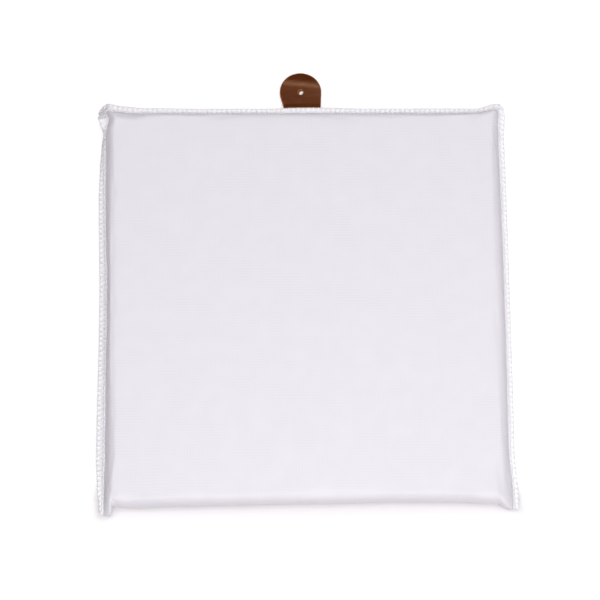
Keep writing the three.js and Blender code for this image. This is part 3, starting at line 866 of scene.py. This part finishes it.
# Spun polyester thread: bright white, soft and slightly hairy
thread, shader = start_material("spun_polyester_thread", 0.7, 1.5)
shader.inputs["Sheen Weight"].default_value = 0.3
place = add_node(thread, "ShaderNodeTexCoord")
fibres = add_node(
    thread, "ShaderNodeTexNoise", {"Vector": place.outputs["Object"], "Scale": 1 / (0.5 * MM), "Detail": 2})
shade = add_node(
    thread, "ShaderNodeMix",
    {"Factor": fibres.outputs["Fac"], "A": linear("#F6F4F8"), "B": linear("#FFFFFF")}, data_type="RGBA")
fuzz = add_node(
    thread, "ShaderNodeBump", {"Height": fibres.outputs["Fac"], "Strength": 0.4, "Distance": 0.1 * MM})
thread.node_tree.links.new(shade.outputs["Result"], shader.inputs["Base Color"])
thread.node_tree.links.new(fuzz.outputs[0], shader.inputs["Normal"])

# Oiled leather: red-brown, with a fine pebble grain and streaks where it was rubbed across
leather, shader = start_material("oiled_leather", 0.2, 1.45)
shader.inputs["Specular IOR Level"].default_value = 0.56
shader.inputs["Specular Tint"].default_value = linear("#FFC096")
place = add_node(leather, "ShaderNodeTexCoord")
pebbles = add_node(
    leather, "ShaderNodeTexVoronoi", {"Vector": place.outputs["Object"], "Scale": 1 / (1.1 * MM)})
across_strap = add_node(
    leather, "ShaderNodeMapping", {"Vector": place.outputs["Object"], "Scale": (0.35, 1.6, 1.0)})
streaks = add_node(
    leather, "ShaderNodeTexNoise",
    {"Vector": across_strap.outputs[0], "Scale": 1 / (3.5 * MM), "Detail": 4, "Roughness": 0.6})
tone = add_node(
    leather, "ShaderNodeMix",
    {"Factor": streaks.outputs["Fac"], "A": linear("#431A04"), "B": linear("#5F2909")}, data_type="RGBA")
rubbed = add_node(
    leather, "ShaderNodeMapRange",
    {"Value": streaks.outputs["Fac"], "From Min": 0.3, "From Max": 0.7, "To Min": 0.18, "To Max": 0.26})
grain = add_node(
    leather, "ShaderNodeBump",
    {"Height": pebbles.outputs["Distance"], "Strength": 0.12, "Distance": 0.12 * MM})
leather.node_tree.links.new(tone.outputs["Result"], shader.inputs["Base Color"])
leather.node_tree.links.new(rubbed.outputs[0], shader.inputs["Roughness"])
leather.node_tree.links.new(grain.outputs[0], shader.inputs["Normal"])

# Burnished edge: the cut fibres rubbed smooth, a warmer brown than the face
burnished, shader = start_material("burnished_leather_edge", 0.45, 1.45)
place = add_node(burnished, "ShaderNodeTexCoord")
layers = add_node(
    burnished, "ShaderNodeTexNoise",
    {"Vector": place.outputs["Object"], "Scale": 1 / (0.8 * MM), "Detail": 3})
tone = add_node(
    burnished, "ShaderNodeMix",
    {"Factor": layers.outputs["Fac"], "A": linear("#8A5022"), "B": linear("#C08040")}, data_type="RGBA")
burnished.node_tree.links.new(tone.outputs["Result"], shader.inputs["Base Color"])

# Raw leather: the punched hole shows pale fibres
raw, shader = start_material("raw_leather", 0.85, 1.45)
place = add_node(raw, "ShaderNodeTexCoord")
fibres = add_node(
    raw, "ShaderNodeTexNoise", {"Vector": place.outputs["Object"], "Scale": 1 / (0.7 * MM), "Detail": 3})
tone = add_node(
    raw, "ShaderNodeMix",
    {"Factor": fibres.outputs["Fac"], "A": linear("#6E3D18"), "B": linear("#B0763F")}, data_type="RGBA")
raw.node_tree.links.new(tone.outputs["Result"], shader.inputs["Base Color"])

# Making
foam = build_foam(foam_finish)
cover, held = build_cover(laminate)
settle_cover(cover, held)
softness = cover.modifiers.new("softness", "SUBSURF")
softness.levels = 1
softness.render_levels = 1
wall = cover.modifiers.new("laminate", "SOLIDIFY")
wall.thickness = SHEET
wall.offset = -1
on_pad(cover, "laminate", "cover")
on_pad(foam, "foam", "foam_core")

last_column = len(COLUMNS) - 1
sew_edge("left", side_edge(FIN_CELLS, 0), SIDE_MARGIN, thread)
sew_edge("back", back_edge(), BACK_MARGIN, thread)
sew_edge("right", side_edge(last_column - FIN_CELLS, last_column), SIDE_MARGIN, thread, CHAIN_TAIL)

tab = build_tab(leather, burnished, raw)
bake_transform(tab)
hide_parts("tab_root", "tab_tongue")
root_under = ROOT_MIDDLE_Z - TAB_THICKNESS / 2
on_pad(stitch_box("tab_needle_stitches", root_under, -1, thread), "thread", "tab_needle_thread")
on_pad(stitch_box("tab_bobbin_stitches", HOLLOW_Z + SHEET, 1, thread), "thread", "tab_bobbin_thread")

# Floor, light and camera
bm = bmesh.new()
bmesh.ops.create_grid(bm, x_segments=1, y_segments=1, size=FLOOR_HALF)
bmesh.ops.translate(bm, vec=(0, 0, -FLOOR_DROP), verts=bm.verts)
floor_paint = bpy.data.materials.new("white_floor")
floor_paint.use_nodes = True
floor_paint.node_tree.nodes.clear()
path = add_node(floor_paint, "ShaderNodeLightPath")
glossy = add_node(
    floor_paint, "ShaderNodeMath",
    {0: path.outputs["Is Camera Ray"], 1: path.outputs["Is Glossy Ray"]}, operation="ADD")
seen = add_node(
    floor_paint, "ShaderNodeMath",
    {0: glossy.outputs[0], 1: path.outputs["Is Transmission Ray"]}, operation="ADD")
# The floor glows white, but less in a band along the front of the pad: a painted shadow there, on top of
# the shadow that the lamps cast
where = add_node(floor_paint, "ShaderNodeTexCoord")
axes = add_node(floor_paint, "ShaderNodeSeparateXYZ", {0: where.outputs["Object"]})
from_front = add_node(
    floor_paint, "ShaderNodeMath", {0: axes.outputs["Y"], 1: SHADOW_Y}, operation="SUBTRACT")
along = add_node(floor_paint, "ShaderNodeMath", {0: from_front.outputs[0]}, operation="ABSOLUTE")
from_middle = add_node(
    floor_paint, "ShaderNodeMath", {0: axes.outputs["X"], 1: SHADOW_X}, operation="SUBTRACT")
across = add_node(floor_paint, "ShaderNodeMath", {0: from_middle.outputs[0]}, operation="ABSOLUTE")
beside = add_node(
    floor_paint, "ShaderNodeMath", {0: across.outputs[0], 1: SHADOW_HALF_WIDTH}, operation="SUBTRACT")
apart = add_node(
    floor_paint, "ShaderNodeMath", {0: along.outputs[0], 1: beside.outputs[0]}, operation="MAXIMUM")
# Glow strength, lower along the front of the pad: painted shadow
glow_with_painted_shadow = add_node(
    floor_paint, "ShaderNodeMapRange",
    {"Value": apart.outputs[0], "From Min": SHADOW_NEAR, "From Max": SHADOW_FAR,
     "To Min": PAINTED_SHADOW_GLOW, "To Max": FLOOR_GLOW})
strength = add_node(
    floor_paint, "ShaderNodeMath", {0: seen.outputs[0], 1: glow_with_painted_shadow.outputs[0]}, operation="MULTIPLY")
glow = add_node(floor_paint, "ShaderNodeEmission", {"Strength": strength.outputs[0]})
paint = add_node(floor_paint, "ShaderNodeBsdfDiffuse", {"Color": linear("#DDDADC")})
both = add_node(floor_paint, "ShaderNodeAddShader", {0: paint.outputs[0], 1: glow.outputs[0]})
add_node(floor_paint, "ShaderNodeOutputMaterial", {"Surface": both.outputs[0]})
floor = new_piece("floor", bm, floor_paint)


def area_light(name, place, size, power):
    """A soft box that shines at the middle of the pad."""
    light = bpy.data.lights.new(name, "AREA")
    light.shape = "RECTANGLE"
    light.size, light.size_y = size
    light.energy = power
    lamp = bpy.data.objects.new(name, light)
    scene.collection.objects.link(lamp)
    lamp.location = place
    lamp.rotation_euler = (-Vector(place)).to_track_quat("-Z", "Y").to_euler()


area_light("overhead_soft_box", (0.05, -0.42, 2.2), (2.0, 1.5), 37.6)
area_light("front_soft_box", (0.4, -2.0, 0.8), (1.0, 0.8), 9.5)
area_light("right_soft_box", (1.7, 0.1, 1.5), (1.0, 1.4), 3.5)
area_light("back_strip_box", (0, 1.5, 2.1), (0.9, 0.3), 6)
world = bpy.data.worlds.new("studio")
world.use_nodes = True
world.node_tree.nodes["Background"].inputs["Color"].default_value = (1, 1, 1, 1)
world.node_tree.nodes["Background"].inputs["Strength"].default_value = 0.12
scene.world = world
scene.view_settings.view_transform = "Standard"

forward = Vector((0, math.cos(ELEVATION), -math.sin(ELEVATION)))
right = Vector((1, 0, 0))
up = right.cross(forward)
turned_right = right * math.cos(ROLL) + up * math.sin(ROLL)
turned_up = up * math.cos(ROLL) - right * math.sin(ROLL)
lens = bpy.data.cameras.new("camera")
lens.angle = VIEW_ANGLE
camera = bpy.data.objects.new("camera", lens)
scene.collection.objects.link(camera)
turn = Matrix((turned_right, turned_up, -forward)).transposed().to_4x4()
camera.matrix_world = Matrix.Translation(AIM - forward * DISTANCE) @ turn
scene.camera = camera
